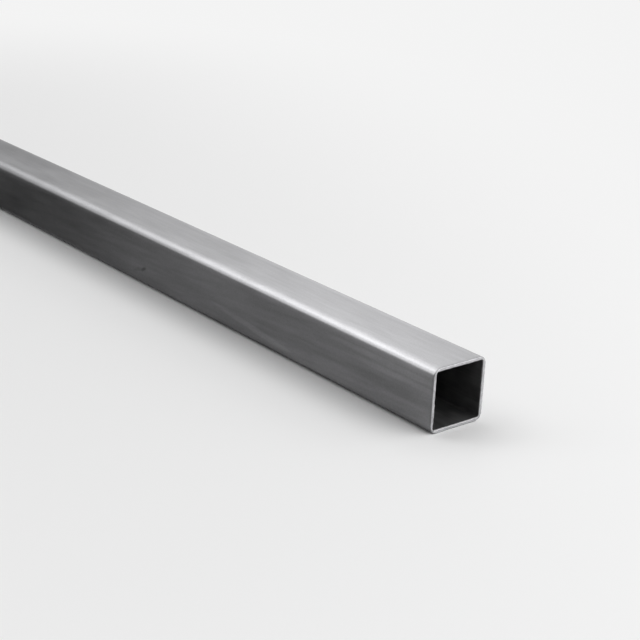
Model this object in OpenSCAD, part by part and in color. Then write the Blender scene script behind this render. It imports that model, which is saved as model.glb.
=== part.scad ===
// Cut length of welded square steel tube, lying on one flat side.
// The length runs along X, the bottom side rests on Z = 0, and the origin is
// at the middle of that bottom side.

/* [Section] */
// Outside width of each of the four sides
side = 50; // [40:5:100]
// Thickness of the wall
wall = 3; // [2:0.5:5]
// Inside radius of the four roll-formed bends
bend_r = 2.5; // [1:0.5:5]

/* [Length] */
// Length between the two saw cuts
cut_length = 1000; // [250:50:3000]

/* [Weld seam] */
// Width of the weld bead left along the inside
bead_w = 2.4; // [1.5:0.1:4]
// How far the bead stands up from the inside of the wall
bead_h = 0.5; // [0.3:0.1:0.7]
// Height of the seam above the bottom of the tube, as a share of the side
seam_share = 0.44; // [0.3:0.01:0.7]

/* [Cut ends] */
// Bevel left on the inner and outer edge of each cut by deburring
deburr = 0.5; // [0.1:0.1:0.6]

/* [Hidden] */
$fn = 96;

// The wall keeps its thickness round each bend, so the outside radius follows.
outer_r = bend_r + wall;
bore = side - 2 * wall;
// How far the bore's cutter runs past each cut end.
overrun = 1;
// Radius of the bead's crown, from the bead's width and height.
bead_r = (bead_w * bead_w / 4 + bead_h * bead_h) / (2 * bead_h);

// One straight strip of a rounded square bar, across its full width.
// A positive bevel narrows both ends at 45 degrees, and a negative one flares them.
module strip(width, flat, long, bevel) {
    half = width / 2;
    rotate([90, 0, 90])
        translate([0, 0, -flat / 2])
            linear_extrude(flat)
                polygon([
                    [half - bevel, 0],
                    [half, abs(bevel)],
                    [half, long - abs(bevel)],
                    [half - bevel, long],
                    [-half + bevel, long],
                    [-half, long - abs(bevel)],
                    [-half, abs(bevel)],
                    [-half + bevel, 0]
                ]);
}

// One rounded corner of such a bar, turned about the corner's own axis.
module corner_post(radius, long, bevel) {
    rotate_extrude()
        polygon([
            [0, 0],
            [radius - bevel, 0],
            [radius, abs(bevel)],
            [radius, long - abs(bevel)],
            [radius - bevel, long],
            [0, long]
        ]);
}

// Square bar with rounded corners, standing on Z = 0, with bevelled or flared ends.
module rounded_bar(width, radius, long, bevel) {
    flat = width - 2 * radius;
    strip(width, flat, long, bevel);
    rotate([0, 0, 90])
        strip(width, flat, long, bevel);
    for (x = [-1, 1], y = [-1, 1])
        translate([x * flat / 2, y * flat / 2, 0])
            corner_post(radius, long, bevel);
}

// Weld bead on the inside of the wall, standing along Z. Its crown is an arc
// that sinks into the wall, and each end stops short of the cut where the
// deburring tool took it back.
module weld_bead() {
    translate([-bore / 2, 0, deburr])
        linear_extrude(cut_length - 2 * deburr)
            intersection() {
                translate([bead_h - bead_r, 0])
                    circle(bead_r);
                translate([-wall / 2, -bead_w])
                    square([wall, 2 * bead_w]);
            }
}

// The tube, laid down along X with the seam in the wall that faces -Y.
module square_tube() {
    color([0.56, 0.57, 0.58])
        translate([-cut_length / 2, 0, side / 2])
            rotate([90, 0, 90]) {
                difference() {
                    rounded_bar(side, outer_r, cut_length, deburr);
                    translate([0, 0, -overrun])
                        rounded_bar(bore, bend_r, cut_length + 2 * overrun, -deburr - overrun);
                }
                translate([0, (seam_share - 0.5) * side, 0])
                    weld_bead();
            }
}

square_tube();
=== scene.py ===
"""A cut length of bare square steel tube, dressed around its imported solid.

Lengths are in metres, in the tube's own frame: X along the length, Z up, and the
origin in the middle of the bottom side.
"""
import math
from typing import NamedTuple

import bpy
from mathutils import Matrix, Vector, noise


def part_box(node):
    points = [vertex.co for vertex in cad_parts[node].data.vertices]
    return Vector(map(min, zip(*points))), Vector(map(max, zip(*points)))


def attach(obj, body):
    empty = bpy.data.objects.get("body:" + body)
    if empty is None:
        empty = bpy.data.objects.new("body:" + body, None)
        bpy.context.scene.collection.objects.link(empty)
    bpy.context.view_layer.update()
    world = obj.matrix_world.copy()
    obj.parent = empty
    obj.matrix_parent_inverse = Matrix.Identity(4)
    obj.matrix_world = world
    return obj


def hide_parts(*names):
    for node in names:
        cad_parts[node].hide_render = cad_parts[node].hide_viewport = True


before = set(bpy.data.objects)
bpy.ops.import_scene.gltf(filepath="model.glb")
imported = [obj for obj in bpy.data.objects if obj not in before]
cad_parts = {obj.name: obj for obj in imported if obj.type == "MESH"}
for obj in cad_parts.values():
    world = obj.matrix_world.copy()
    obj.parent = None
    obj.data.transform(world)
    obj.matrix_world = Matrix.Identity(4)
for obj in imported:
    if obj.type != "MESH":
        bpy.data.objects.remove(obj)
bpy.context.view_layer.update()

MM = 0.001
TUBE = "square_tube"

# Section of the tube, as its source gives it
LOW, HIGH = (Vector(corner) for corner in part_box(TUBE))
LENGTH = HIGH.x - LOW.x
SIDE = HIGH.z - LOW.z
WALL = 3 * MM
BEND_R = 2.5 * MM
OUTER_R = BEND_R + WALL
DEBURR = 0.5 * MM
BEAD_W = 2.4 * MM
BEAD_H = 0.5 * MM
SEAM_SHARE = 0.44
SEAM_Z = LOW.z + SEAM_SHARE * SIDE

# How finely the mesh follows the section and the length
ARC_STEPS = 12
FLAT_STEPS = 36
RIM_STEPS = 5
FIRST_STEP = 0.4 * MM
STEP_GROWTH = 1.07
LONGEST_STEP = 8 * MM
MIDDLE_GAP = 1.5  # steps that have to be free before the middle for one more station

# The mesh's noise: what brings it to about -0.5 to 0.5. Its cells are counted to the metre.
NOISE_SCALE = 0.6

# Relief that rolling left
DISH = 0.07 * MM  # hollow of each side
SHOULDER = 0.2 * MM  # how far a side has eased inward where it meets a bend
SHOULDER_WIDTH = 4 * MM
ROLL_WAVE = 0.02 * MM  # slow waves of the sides
WAVE_CELLS = 14
WAVES_ACROSS = 1.5
FACE_SEED = 7.3  # makes the four sides differ
CREASE_R = 1.6 * MM  # radius that the inside of each bend creases to

# Relief of the inner weld bead
BEAD_RIPPLE = 0.35  # share of the bead's height that ripples
RIPPLE_CELLS = 330
RIPPLE_SEED = 4.0
BEAD_WANDER = 0.25 * MM
WANDER_CELLS = 160

# Relief that sawing and deburring left
BURR = 0.9  # how much the bevels' width varies
BURR_CELLS = 420
BURR_DETAIL = (0.4, 3)  # share and fineness of a second layer
END_SEED = 5.0  # makes the two ends differ
EDGE_SEED = 3.7  # makes the inner and the outer bevel differ
SAW_RELIEF = 0.05 * MM
SAW_CELLS = (700, 3)  # to the metre round the cut, and in all through the wall

# Camera, as fitted to the photo: where it looks, from which side and how far away
LOOK_AT = Vector((0.3444, 0.0, 0.0315))
AZIMUTH = math.radians(50.4)
ELEVATION = math.radians(20.46)
ROLL = math.radians(2.7)
DISTANCE = 1.1623
LENS = 84.57
SENSOR = 36
CLIP = (0.01, 60)


class Metal(NamedTuple):
    """How a bare metal looks: its linear grey and how far the patterns spread that, its tint, its
    roughness and the depth of its relief. Each pattern gives its cells to the metre along X, Y and
    Z, detail, seed and lean, then how much of it goes into the grey, the roughness and the relief."""
    grey: float
    spread: float
    tint: tuple
    roughness: float
    relief: float
    patterns: tuple


STREAK_LEAN = math.radians(4)
SAW_ANGLE = math.radians(12)
STEEL_TINT = (0.993, 0.992, 1.018)
ROLLED = Metal(
    grey=0.21,
    spread=0.06,
    tint=STEEL_TINT,
    roughness=0.32,
    relief=0.004 * MM,
    patterns=(
        ((5, 110, 110), 2, 0.7, None, (0.7, 0.05, 0)),  # soft bands
        ((26, 300, 300), 2, 3.1, (0, -STREAK_LEAN, 0), (1.1, 0.04, 0)),  # leaning streaks
        ((60, 2600, 2600), 2, 7.7, None, (0.25, 0, 0.6)),  # fine lines
        ((18, 60, 60), 3, 5.3, None, (1, 0.08, 0)),  # clouds
        ((900, 900, 900), 2, 1.9, None, (1, 0, 0.4)),  # specks
    ),
)
BORE = Metal(
    grey=0.127,
    spread=0.1,
    tint=(1.0, 1.0, 1.01),
    roughness=0.55,
    relief=0.01 * MM,
    patterns=(
        ((60, 90, 90), 4, 4.6, None, (1.2, 0.2, 0)),  # blotches of the film
        ((8, 350, 350), 3, 2.2, None, (0.8, 0, 1)),  # streaks
    ),
)
SAWN = Metal(
    grey=0.44,
    spread=0.3,
    tint=STEEL_TINT,
    roughness=0.5,
    relief=0.015 * MM,
    patterns=(
        ((200, 60, 2300), 3, 8.8, (SAW_ANGLE, 0, 0), (0.7, 0, 1)),  # saw lines
        ((300, 300, 300), 3, 4.4, None, (1.3, 0.2, 0)),  # patches
    ),
)
GRAZING_TINT = (0.6, 0.6, 0.6, 1)

# What dims or lifts the rolled outside locally, as factors on its grey. Here and below, a pair of
# values that an effect eases between is where it starts and where it is full.
# Bends: partly real burnish, partly a painted highlight on their sheen
BEND_BURNISH_AND_SHEEN = 1.23
BEND_REACH = 4 * MM
# Painted sheen: top and bottom lighter toward the side that faces -Y
PAINTED_SHEEN_GAIN = 1.12
SHEEN_Y = (17 * MM, -17 * MM)  # across the top and bottom
SHEEN_SIDE_Y = (-24.6 * MM, -22 * MM)  # round the bends, to spare the side that faces -Y
# Painted shade: a narrow darker line beside each cut
CUT_EDGE_SHADE = 0.82
CUT_EDGE_SHADE_WIDTH = 2.5 * MM
SEAM_DIM = 0.96
SEAM_EDGE = (4.5 * MM, 1.5 * MM)  # distances from the seam
SEAM_WANDER = 1.5 * MM
SEAM_WAVER = ((9, 9, 9), 1, 6.1)

# Marks on the side that faces -Y: middle X and Z, length, width, lean, and change of brightness; a
# smudge where the change darkens, and a painted reflection where it lightens
SMUDGES_AND_PAINTED_LIGHT = (
    # a dark smudge
    (0.131, 15.5 * MM, 8.5 * MM, 3.4 * MM, 0.45, -0.42),
    (0.121, 12.5 * MM, 16 * MM, 4 * MM, 0.4, -0.12),
    # painted reflections: lighter patches that lift the near end and the lower side
    (0.45, 38 * MM, 160 * MM, 5 * MM, 0.0, 0.14),
    (0.46, 31.5 * MM, 120 * MM, 5 * MM, 0.01, 0.16),
    (0.29, 12.5 * MM, 120 * MM, 6 * MM, -0.09, 0.2),
    (0.42, 10 * MM, 260 * MM, 16 * MM, 0.0, 0.2),
)
MARK_EDGE = (1.4, 0.1)  # squared distances from a mark's middle, where 1 is its nominal edge
MARK_RAGGED = 1.6
MARK_CELLS = (3, 1.5)  # cells of its ragged edge over its length and its width
MARK_DETAIL = 3
MARK_SEED = 9.1

# Painted shade: the bevels round the cuts are darkened as they lean away from X, by the X of their
# normal, to tone down their highlight
BEVEL_SHADE = 0.36
BEVEL_SHADE_FACING = (0.99, 0.86)

# Floor: paper white. It fades into the pale surround with the distance from the tube, and before
# that the camera sees some of the surround mixed in, beyond the contact shadow.
FLOOR_WHITE = 0.88
FLOOR_SIZE = 20
MATTE_ROUGHNESS = 0.9
FADE = (0.075, 0.875)
FLOOR_LIFT = 0.5
LIFT_REACH = (0.0, 0.05)
SURROUND = (0.9, 0.9, 0.9, 1)

# Dark card just over the floor in front of the tube, seen only in reflections: its reach along X
# and Y, how much it hides beside the far half, and how much beside the near half, away from the tube
CARD_BLACK = 0.02
CARD_X = (-0.55, 0.45)
CARD_Y = (-0.7, -0.026)
CARD_FAR_SHARE = 0.9
CARD_FAR_X = (0.24, -0.2)
CARD_NEAR_SHARE = 0.25
CARD_NEAR_X = (CARD_X[1], 0.25)
CARD_NEAR_Y = (-0.03, -0.1)
CARD_HEIGHT = 0.2 * MM

# Two arches of softboxes, round the directions in which the bends mirror the camera: each has its
# angle to -X and its depth, then the radiance of each box from the +Y end of the arch to its -Y end
ARCHES = (
    (math.radians(50), math.radians(16), (2.15, 2.1, 2.8, 4.4, 2.5)),
    (math.radians(37), math.radians(10), (1.0, 1.1, 1.5, 1.2, 0.2)),
)
ARCH_DISTANCE = 4.5
ARCH_STEP = math.radians(33)

# Low softboxes that light the floor from behind and from the right:
# azimuth from +X and elevation in degrees, distance, size across and up, radiance
FLOOR_BOXES = {
    "floor_right": (5, 25, 1.8, (1.4, 0.6), 1.5),
    "floor_back_right": (30, 28, 1.8, (2.6, 1.6), 2.8),
    "floor_back": (90, 25, 1.8, (1.6, 1.0), 1.8),
}
AIM = Vector((0.25, 0, 0))


def smooth_noise(x, y=0.0, z=0.0):
    """Seeded smooth noise, about -0.5 to 0.5."""
    return noise.noise(Vector((x, y, z))) * NOISE_SCALE


def share_noise(x, y=0.0, z=0.0):
    """The same noise moved up, to about 0 to 1."""
    return 0.5 + smooth_noise(x, y, z)


class Spoke(NamedTuple):
    """One place round the section: a core point, the direction out through the wall, how far along
    its flat it is, or None on a bend, and the face that it belongs to."""
    core: Vector
    out: Vector
    share: float
    face: int


def section_spokes():
    """The spokes in order round the section. Each face has its flat, then the bend after it."""
    half_flat = SIDE / 2 - OUTER_R
    spokes = []
    for face in range(4):
        turn = Matrix.Rotation(face * math.pi / 2, 2)
        for i in range(FLAT_STEPS):
            share = i / FLAT_STEPS
            core = turn @ Vector((half_flat, (2 * share - 1) * half_flat))
            spokes.append(Spoke(core, turn @ Vector((1, 0)), share, face))
        corner = turn @ Vector((half_flat, half_flat))
        for i in range(ARC_STEPS):
            angle = math.pi / 2 * i / ARC_STEPS
            out = turn @ Vector((math.cos(angle), math.sin(angle)))
            spokes.append(Spoke(corner, out, None, face))
    return spokes


def stations():
    """Distances from a cut end to the middle, close together near the end."""
    places = [DEBURR]
    step = FIRST_STEP
    while places[-1] + MIDDLE_GAP * step < LENGTH / 2:
        places.append(places[-1] + step)
        step = min(step * STEP_GROWTH, LONGEST_STEP)
    return places


def outer_relief(spoke, x):
    """How far a rolled side or bend lies inside the true one: the sides ease into the bends."""
    if spoke.share is None:
        steepest = 2 * SHOULDER / SHOULDER_WIDTH
        return SHOULDER + OUTER_R * steepest * abs(spoke.out.x * spoke.out.y)
    bow = 4 * spoke.share * (1 - spoke.share)
    wave = share_noise(x * WAVE_CELLS, spoke.face * FACE_SEED, spoke.share * WAVES_ACROSS)
    from_bend = min(spoke.share, 1 - spoke.share) * (SIDE - 2 * OUTER_R)
    ease = max(0.0, 1 - from_bend / SHOULDER_WIDTH) ** 2
    return bow * (DISH + ROLL_WAVE * wave) + SHOULDER * ease


def inner_reach(spoke):
    """How far the inside is from a core point: the bends crease tighter than the true radius.

    The flats run straight on into the bend, and an arc of the tighter radius joins them."""
    if spoke.share is not None:
        return BEND_R
    less, more = sorted((abs(spoke.out.x), abs(spoke.out.y)))
    inset = BEND_R - CREASE_R
    if less * BEND_R <= more * inset:
        return BEND_R / more
    toward = inset * (less + more)
    return toward + math.sqrt(toward ** 2 - 2 * inset ** 2 + CREASE_R ** 2)


def bead_height(y, z, x):
    """Height of the weld bead over the inside of the wall that faces -Y."""
    if y > -SIDE / 2 + OUTER_R:
        return 0.0
    wander = BEAD_WANDER * smooth_noise(x * WANDER_CELLS)
    off = (z - (SEAM_Z - SIDE / 2) + wander) / (BEAD_W / 2)
    if abs(off) >= 1:
        return 0.0
    ripple = 1 - BEAD_RIPPLE * share_noise(x * RIPPLE_CELLS, RIPPLE_SEED)
    return BEAD_H * ripple * (1 - off * off)


def profile(ends):
    """The closed path that is swept round the section, as (zone, end, depth share, distance)."""
    path = []
    for end in ends:
        run = stations()
        outer = [("outer", end, 1.0, place) for place in reversed(run)]
        rim = [("rim", end, 1.0 - i / RIM_STEPS, 0.0) for i in range(RIM_STEPS + 1)]
        inner = [("inner", end, 0.0, place) for place in run]
        leg = outer + rim + inner
        path += leg if end > 0 else leg[::-1]
    return path


def ragged_bevel(spoke, end, depth):
    """Width of the hand-filed bevel at one place, wider and narrower round the cut."""
    where = (spoke.core + spoke.out * OUTER_R) * BURR_CELLS
    seed = end * END_SEED + round(depth) * EDGE_SEED
    share, finer = BURR_DETAIL
    ragged = smooth_noise(where.x, where.y, seed)
    ragged += share * smooth_noise(finer * where.x, finer * where.y, seed)
    return DEBURR * (1 + BURR * ragged)


def saw_relief(core, depth):
    """How far the saw cut lies inside the true end at one place."""
    around, through = SAW_CELLS
    return SAW_RELIEF * share_noise(core.x * around, core.y * around, depth * through)


def tube_point(spoke, zone, end, depth, place):
    """Position of one mesh point."""
    bevel = ragged_bevel(spoke, end, depth)
    outside = OUTER_R - outer_relief(spoke, end * (LENGTH / 2 - place))
    inside = inner_reach(spoke)
    if zone == "outer":
        radius = outside
    elif zone == "inner":
        radius = inside
    else:
        radius = inside + bevel + depth * (outside - inside - 2 * bevel)
    if zone != "rim" and place == DEBURR:
        place = bevel
    if zone == "rim" and 0 < depth < 1:
        place = saw_relief(spoke.core, depth)
    x = end * (LENGTH / 2 - place)
    y, z = spoke.core + spoke.out * radius
    if zone == "inner":
        y += bead_height(y, z, x)
    return (x, y, z + SIDE / 2 + LOW.z)


def build_tube(materials):
    """The tube as one closed mesh: a closed path along the wall, swept round the section.

    A face that spans two zones is a bevel, and is finished as the rim is."""
    spokes = section_spokes()
    path = profile((1, -1))
    verts = [tube_point(spoke, *step) for step in path for spoke in spokes]
    around = len(spokes)
    faces = []
    zones = []
    for i in range(len(path)):
        here = i * around
        there = ((i + 1) % len(path)) * around
        zone_pair = (path[i][0], path[(i + 1) % len(path)][0])
        zone = zone_pair[0] if zone_pair[0] == zone_pair[1] else "rim"
        for k in range(around):
            n = (k + 1) % around
            faces.append((here + k, here + n, there + n, there + k))
            zones.append(zone)
    mesh = bpy.data.meshes.new("dressed_tube")
    mesh.from_pydata(verts, [], faces)
    order = list(materials)
    for name in order:
        mesh.materials.append(materials[name])
    mesh.polygons.foreach_set("material_index", [order.index(zone) for zone in zones])
    mesh.polygons.foreach_set("use_smooth", [True] * len(faces))
    mesh.update()
    mesh.validate()
    mark_cut_edges(mesh, path, around)
    tube = bpy.data.objects.new("dressed_tube", mesh)
    bpy.context.collection.objects.link(tube)
    return tube


def mark_cut_edges(mesh, path, around):
    """Keeps the edge crisp where each bevel starts, and lets the bevel roll into the cut."""
    crisp = set()
    for i, step in enumerate(path):
        before = path[i - 1]
        after = path[(i + 1) % len(path)]
        if step[0] != "rim" and "rim" in (before[0], after[0]):
            crisp.add(i)
    for edge in mesh.edges:
        a, b = (v // around for v in edge.vertices)
        if a == b and a in crisp:
            edge.use_edge_sharp = True


def new_material(name):
    """An empty node material, with its tree and its surface shader."""
    material = bpy.data.materials.new(name)
    material.use_nodes = True
    tree = material.node_tree
    tree.nodes.clear()
    output = tree.nodes.new("ShaderNodeOutputMaterial")
    shader = tree.nodes.new("ShaderNodeBsdfPrincipled")
    tree.links.new(shader.outputs[0], output.inputs["Surface"])
    return material, tree, shader


def feed(tree, socket, value):
    """Joins a socket to another one, or sets it to a plain value."""
    if isinstance(value, bpy.types.NodeSocket):
        tree.links.new(value, socket)
    else:
        socket.default_value = value


def calc(tree, operation, first, second=0.0):
    """A Math node's result."""
    node = tree.nodes.new("ShaderNodeMath")
    node.operation = operation
    feed(tree, node.inputs[0], first)
    feed(tree, node.inputs[1], second)
    return node.outputs[0]


def total(tree, terms):
    """The sum of (share, value) pairs, without those whose share is 0."""
    result = 0.0
    for share, value in terms:
        if share:
            result = calc(tree, "ADD", result, calc(tree, "MULTIPLY", value, share))
    return result


def product(tree, factors):
    """All of those factors multiplied."""
    result, *others = factors
    for factor in others:
        result = calc(tree, "MULTIPLY", result, factor)
    return result


def square(tree, value):
    """A value times itself."""
    return calc(tree, "MULTIPLY", value, value)


def eased(tree, value, start, end):
    """A smooth step from 0 at start to 1 at end, where the start may be the greater."""
    node = tree.nodes.new("ShaderNodeMapRange")
    node.interpolation_type = "SMOOTHSTEP"
    feed(tree, node.inputs["Value"], value)
    node.inputs["From Min"].default_value = min(start, end)
    node.inputs["From Max"].default_value = max(start, end)
    node.inputs["To Min"].default_value = 0.0 if start < end else 1.0
    node.inputs["To Max"].default_value = 1.0 if start < end else 0.0
    return node.outputs[0]


def share_of(tree, mask, level):
    """1 where a mask is 0, and that level where it is 1."""
    return calc(tree, "ADD", calc(tree, "MULTIPLY", mask, level - 1.0), 1.0)


def tinted(tree, level, tint):
    """A grey of that level with a faint tint."""
    node = tree.nodes.new("ShaderNodeVectorMath")
    node.operation = "SCALE"
    node.inputs[0].default_value = tint
    feed(tree, node.inputs["Scale"], level)
    return node.outputs[0]


class Place:
    """Where a shading point is on its object, in metres."""

    def __init__(self, tree):
        self.tree = tree
        self.point = tree.nodes.new("ShaderNodeTexCoord").outputs["Object"]
        split = tree.nodes.new("ShaderNodeSeparateXYZ")
        tree.links.new(self.point, split.inputs[0])
        self.x, self.y, self.z = split.outputs

    def noise(self, cells, detail, seed, lean=None):
        """Noise from about -0.5 to 0.5, with so many cells to the metre along X, Y and Z, or
        along axes that lean by those angles."""
        mapping = self.tree.nodes.new("ShaderNodeMapping")
        mapping.inputs["Scale"].default_value = cells
        mapping.inputs["Location"].default_value = (seed, seed, seed)
        if lean:
            mapping.vector_type = "TEXTURE"
            mapping.inputs["Scale"].default_value = [1 / count for count in cells]
            mapping.inputs["Rotation"].default_value = lean
        self.tree.links.new(self.point, mapping.inputs["Vector"])
        node = self.tree.nodes.new("ShaderNodeTexNoise")
        node.inputs["Scale"].default_value = 1.0
        node.inputs["Detail"].default_value = detail
        self.tree.links.new(mapping.outputs[0], node.inputs["Vector"])
        return calc(self.tree, "SUBTRACT", node.outputs[0], 0.5)

    def distance(self, coordinate, middle):
        """How far a coordinate is from a value."""
        return calc(self.tree, "ABSOLUTE", calc(self.tree, "SUBTRACT", coordinate, middle))

    def on_seam_side(self):
        """1 on the outside of the wall that faces -Y, and 0 elsewhere."""
        return calc(self.tree, "LESS_THAN", self.y, -SIDE / 2 + WALL / 2)


def add_bump(tree, shader, height, depth):
    """Relief of so many metres for each unit of height."""
    bump = tree.nodes.new("ShaderNodeBump")
    bump.inputs["Distance"].default_value = depth
    tree.links.new(height, bump.inputs["Height"])
    tree.links.new(bump.outputs[0], shader.inputs["Normal"])


def burnish_and_painted_sheen(place):
    """The bends are a little brighter: partly burnish from the rolls and every rub, and partly a
    painted highlight that brightens the sheen of the bends.
    """
    tree = place.tree
    off_y = place.distance(place.y, 0.0)
    off_z = place.distance(place.z, LOW.z + SIDE / 2)
    near = calc(tree, "MINIMUM", off_y, off_z)
    bend = eased(tree, near, SIDE / 2 - OUTER_R - BEND_REACH, SIDE / 2 - OUTER_R / 2)
    return share_of(tree, bend, BEND_BURNISH_AND_SHEEN)


def painted_front_sheen(place):
    """Painted sheen: the top and bottom are painted a little brighter toward the bends of the side
    that faces -Y, where the light falls brighter.
    """
    tree = place.tree
    toward = eased(tree, place.y, *SHEEN_Y)
    off_side = eased(tree, place.y, *SHEEN_SIDE_Y)
    return share_of(tree, calc(tree, "MULTIPLY", toward, off_side), PAINTED_SHEEN_GAIN)


def painted_cut_edge_shade(place):
    """A narrow darker line on the outside beside each cut: painted shade along the cut edge."""
    tree = place.tree
    from_middle = place.distance(place.x, 0.0)
    edge = eased(tree, from_middle, LENGTH / 2 - CUT_EDGE_SHADE_WIDTH, LENGTH / 2)
    return share_of(tree, edge, CUT_EDGE_SHADE)


def seam_dim(place):
    """The trimmed weld outside: a soft and slightly darker strip along the side."""
    tree = place.tree
    wander = calc(tree, "MULTIPLY", place.noise(*SEAM_WAVER), SEAM_WANDER)
    off = calc(tree, "ADD", place.distance(place.z, SEAM_Z), wander)
    strip = eased(tree, off, *SEAM_EDGE)
    return share_of(tree, calc(tree, "MULTIPLY", strip, place.on_seam_side()), SEAM_DIM)


def smudge_and_painted_light(place, x, z, length, width, lean, change):
    """A slanted elliptical mark with ragged soft edges, as a factor on the brightness: a smudge where
    it darkens, and a painted reflection where it lightens.
    """
    tree = place.tree
    across = calc(tree, "SUBTRACT", place.x, x)
    up = calc(tree, "SUBTRACT", place.z, z)
    up = calc(tree, "SUBTRACT", up, calc(tree, "MULTIPLY", across, lean))
    along = calc(tree, "MULTIPLY", across, 2 / length)
    thick = calc(tree, "MULTIPLY", up, 2 / width)
    reach = calc(tree, "ADD", square(tree, along), square(tree, thick))
    cells_x, cells_z = MARK_CELLS[0] / length, MARK_CELLS[1] / width
    ragged = place.noise((cells_x, cells_z, cells_z), MARK_DETAIL, MARK_SEED)
    mark = eased(tree, total(tree, ((1, reach), (MARK_RAGGED, ragged))), *MARK_EDGE)
    return share_of(tree, calc(tree, "MULTIPLY", mark, place.on_seam_side()), 1 + change)


def painted_bevel_shade(place):
    """Painted shade: the bevels round the cut are darker than the cut itself, which faces straight
    along X, by how far their normal leans away from X.
    """
    tree = place.tree
    split = tree.nodes.new("ShaderNodeSeparateXYZ")
    tree.links.new(tree.nodes.new("ShaderNodeTexCoord").outputs["Normal"], split.inputs[0])
    facing = calc(tree, "ABSOLUTE", split.outputs[0])
    return share_of(tree, eased(tree, facing, *BEVEL_SHADE_FACING), BEVEL_SHADE)


def dress_metal(shader, place, metal, factors):
    """Gives a shader the look of that metal, with its grey multiplied by those factors."""
    tree = place.tree
    layers = [(place.noise(*pattern), shares) for *pattern, shares in metal.patterns]
    mottle, rough, height = (
        total(tree, [(shares[use], layer) for layer, shares in layers]) for use in range(3)
    )
    level = calc(tree, "ADD", calc(tree, "MULTIPLY", mottle, metal.spread), metal.grey)
    level = product(tree, [level] + factors)
    tree.links.new(tinted(tree, level, metal.tint), shader.inputs["Base Color"])
    tree.links.new(calc(tree, "ADD", rough, metal.roughness), shader.inputs["Roughness"])
    shader.inputs["Metallic"].default_value = 1.0
    add_bump(tree, shader, height, metal.relief)


def rolled_steel():
    """The outside: satin bare steel with fine streaks along the length, as the rolls left them."""
    material, tree, shader = new_material("rolled_steel")
    place = Place(tree)
    # the bends' burnish and painted highlight, the painted sheen toward -Y and the painted shade
    # beside the cuts
    factors = [burnish_and_painted_sheen(place), painted_front_sheen(place), painted_cut_edge_shade(place), seam_dim(place)]
    # smudges, and painted reflections where a mark lightens
    factors += [smudge_and_painted_light(place, *mark) for mark in SMUDGES_AND_PAINTED_LIGHT]
    dress_metal(shader, place, ROLLED, factors)
    shader.inputs["Specular Tint"].default_value = GRAZING_TINT
    return material


def bore_steel():
    """The inside: dull dark steel under an uneven film."""
    material, tree, shader = new_material("bore_steel")
    dress_metal(shader, Place(tree), BORE, [])
    return material


def sawn_steel():
    """The cut: brighter fresh metal, mottled, with fine uneven saw lines."""
    material, tree, shader = new_material("sawn_steel")
    place = Place(tree)
    # painted shade on the bevels
    dress_metal(shader, place, SAWN, [painted_bevel_shade(place)])
    return material


def backdrop_rays(tree):
    """1 for rays from the camera, from reflections and through glass, and 0 for the rest."""
    path = tree.nodes.new("ShaderNodeLightPath")
    seen = calc(tree, "MAXIMUM", path.outputs["Is Camera Ray"], path.outputs["Is Glossy Ray"])
    return calc(tree, "MAXIMUM", seen, path.outputs["Is Transmission Ray"])


def distance_from_tube(tree):
    """How far a point of the floor is from the tube's outline."""
    place = Place(tree)
    squares = 0.0
    for coordinate, half in ((place.x, LENGTH / 2), (place.y, SIDE / 2)):
        past = calc(tree, "SUBTRACT", place.distance(coordinate, 0.0), half)
        squares = calc(tree, "ADD", squares, square(tree, calc(tree, "MAXIMUM", past, 0.0)))
    return calc(tree, "SQRT", squares)


def add_sheet(name, reach_x, reach_y, height, material):
    """A level sheet of that reach along X and Y, so high over the tube's underside."""
    (low_x, high_x), (low_y, high_y) = reach_x, reach_y
    corners = [(low_x, low_y, 0), (high_x, low_y, 0), (high_x, high_y, 0), (low_x, high_y, 0)]
    mesh = bpy.data.meshes.new(name)
    mesh.from_pydata(corners, [], [(0, 1, 2, 3)])
    mesh.materials.append(material)
    sheet = bpy.data.objects.new(name, mesh)
    sheet.location.z = LOW.z + height
    bpy.context.collection.objects.link(sheet)
    return sheet


def matte_material(name, grey):
    """A plain matte material, with its tree and its surface shader."""
    material, tree, shader = new_material(name)
    shader.inputs["Base Color"].default_value = (grey, grey, grey, 1)
    shader.inputs["Roughness"].default_value = MATTE_ROUGHNESS
    return material, tree, shader


def mix_surfaces(tree, share, first, second):
    """Makes a material show that share of the second shader, and the first one for the rest."""
    mix = tree.nodes.new("ShaderNodeMixShader")
    tree.links.new(share, mix.inputs[0])
    tree.links.new(first.outputs[0], mix.inputs[1])
    tree.links.new(second.outputs[0], mix.inputs[2])
    output = next(node for node in tree.nodes if node.type == "OUTPUT_MATERIAL")
    tree.links.new(mix.outputs[0], output.inputs["Surface"])


def floor_paper():
    """Matte paper that fades into the surround away from the tube."""
    material, tree, shader = matte_material("floor_paper", FLOOR_WHITE)
    shader.inputs["Specular IOR Level"].default_value = 0.0
    surround = tree.nodes.new("ShaderNodeEmission")
    surround.inputs["Color"].default_value = SURROUND
    distance = distance_from_tube(tree)
    far = eased(tree, distance, *FADE)
    camera = tree.nodes.new("ShaderNodeLightPath").outputs["Is Camera Ray"]
    beyond_shadow = eased(tree, distance, *LIFT_REACH)
    lift = product(tree, (camera, FLOOR_LIFT, beyond_shadow, calc(tree, "SUBTRACT", 1.0, far)))
    share = calc(tree, "ADD", calc(tree, "MULTIPLY", far, backdrop_rays(tree)), lift)
    mix_surfaces(tree, share, shader, surround)
    return material


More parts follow.
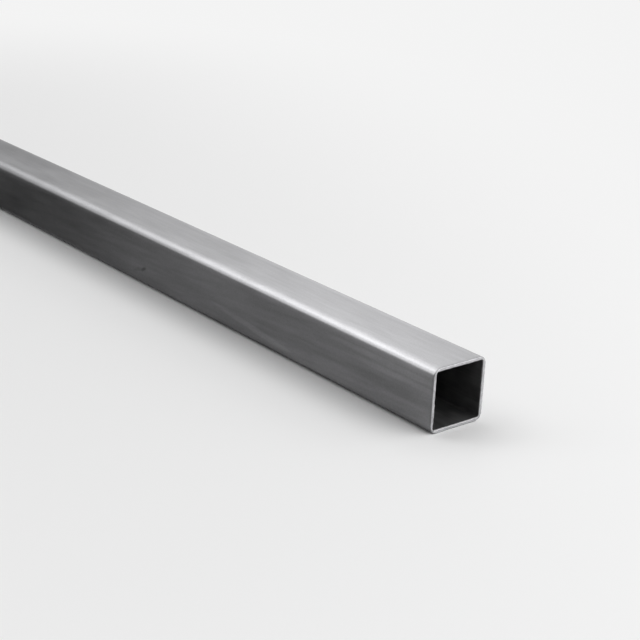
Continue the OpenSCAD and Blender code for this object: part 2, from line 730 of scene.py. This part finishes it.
def card_black():
    """Matte black that hides more toward the far end, and fades out at the card's edges."""
    material, tree, shader = matte_material("card_black", CARD_BLACK)
    place = Place(tree)
    clear = tree.nodes.new("ShaderNodeBsdfTransparent")
    far = product(tree, (eased(tree, place.x, *CARD_FAR_X), CARD_FAR_SHARE))
    near_x = eased(tree, place.x, *CARD_NEAR_X)
    near_y = eased(tree, place.y, *CARD_NEAR_Y)
    hidden = calc(tree, "MAXIMUM", far, product(tree, (near_x, near_y, CARD_NEAR_SHARE)))
    for coordinate, edge in ((place.x, CARD_X[0]), (place.y, CARD_Y[0])):
        hidden = calc(tree, "MULTIPLY", hidden, eased(tree, coordinate, edge, edge / 2))
    mix_surfaces(tree, hidden, clear, shader)
    return material


def add_floor():
    """A pale floor that keeps the shadow near the tube and fades into the surround farther out."""
    reach = (-FLOOR_SIZE, FLOOR_SIZE)
    floor = add_sheet("studio_floor", reach, reach, 0.0, floor_paper())


def add_card():
    """A dark card that the metal reflects, so that its front side falls off toward the far end."""
    card = add_sheet("dark_card", CARD_X, CARD_Y, CARD_HEIGHT, card_black())
    card.visible_camera = False
    card.visible_diffuse = False
    card.visible_shadow = False


def add_camera():
    """The camera at the photo's viewpoint."""
    outward = math.cos(ELEVATION)
    back = Vector((math.sin(AZIMUTH) * outward, -math.cos(AZIMUTH) * outward, math.sin(ELEVATION)))
    data = bpy.data.cameras.new("photo_camera")
    data.lens = LENS
    data.sensor_width = SENSOR
    data.clip_start, data.clip_end = CLIP
    camera = bpy.data.objects.new("photo_camera", data)
    turn = back.to_track_quat("Z", "Y").to_matrix().to_4x4() @ Matrix.Rotation(ROLL, 4, "Z")
    camera.matrix_world = Matrix.Translation(LOOK_AT + back * DISTANCE) @ turn
    bpy.context.collection.objects.link(camera)
    bpy.context.scene.camera = camera


def add_softbox(name, toward, across, distance, size, radiance):
    """A rectangular lamp that faces the tube from one direction, with its width along another."""
    data = bpy.data.lights.new(name, "AREA")
    data.shape = "RECTANGLE"
    data.size, data.size_y = size
    data.energy = math.pi * size[0] * size[1] * radiance
    lamp = bpy.data.objects.new(name, data)
    lamp.visible_camera = False
    turn = Matrix((across, toward.cross(across), toward)).transposed().to_4x4()
    lamp.matrix_world = Matrix.Translation(AIM + toward * distance) @ turn
    bpy.context.collection.objects.link(lamp)


def add_arch(row, cone, depth, radiances):
    """Softboxes edge to edge along an arch over the tube."""
    size = (ARCH_DISTANCE * math.sin(cone) * ARCH_STEP, ARCH_DISTANCE * depth)
    middle = (len(radiances) - 1) / 2
    for i, radiance in enumerate(radiances):
        lean = (middle - i) * ARCH_STEP
        across = Vector((0, math.cos(lean), -math.sin(lean)))
        up = Vector((0, math.sin(lean), math.cos(lean)))
        toward = Vector((-math.cos(cone), 0, 0)) + math.sin(cone) * up
        add_softbox(f"arch_{row + 1}_{i + 1}", toward, across, ARCH_DISTANCE, size, radiance)


def add_floor_boxes():
    """Softboxes low over the floor."""
    for name, (azimuth, elevation, distance, size, radiance) in FLOOR_BOXES.items():
        turn = math.radians(azimuth)
        rise = math.radians(elevation)
        outward = math.cos(rise)
        toward = Vector((math.cos(turn) * outward, math.sin(turn) * outward, math.sin(rise)))
        across = Vector((-math.sin(turn), math.cos(turn), 0))
        add_softbox(name, toward, across, distance, size, radiance)


def light_scene():
    """Pale surround for the camera and for reflections, and softboxes for everything else."""
    world = bpy.data.worlds.new("studio")
    bpy.context.scene.world = world
    world.use_nodes = True
    tree = world.node_tree
    background = tree.nodes["Background"]
    background.inputs["Color"].default_value = SURROUND
    tree.links.new(backdrop_rays(tree), background.inputs["Strength"])
    for row, (cone, depth, radiances) in enumerate(ARCHES):
        add_arch(row, cone, depth, radiances)
    add_floor_boxes()


tube = build_tube({"outer": rolled_steel(), "rim": sawn_steel(), "inner": bore_steel()})
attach(tube, "root")
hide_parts(TUBE)

add_floor()
add_card()
add_camera()
light_scene()
bpy.context.scene.view_settings.view_transform = "Standard"
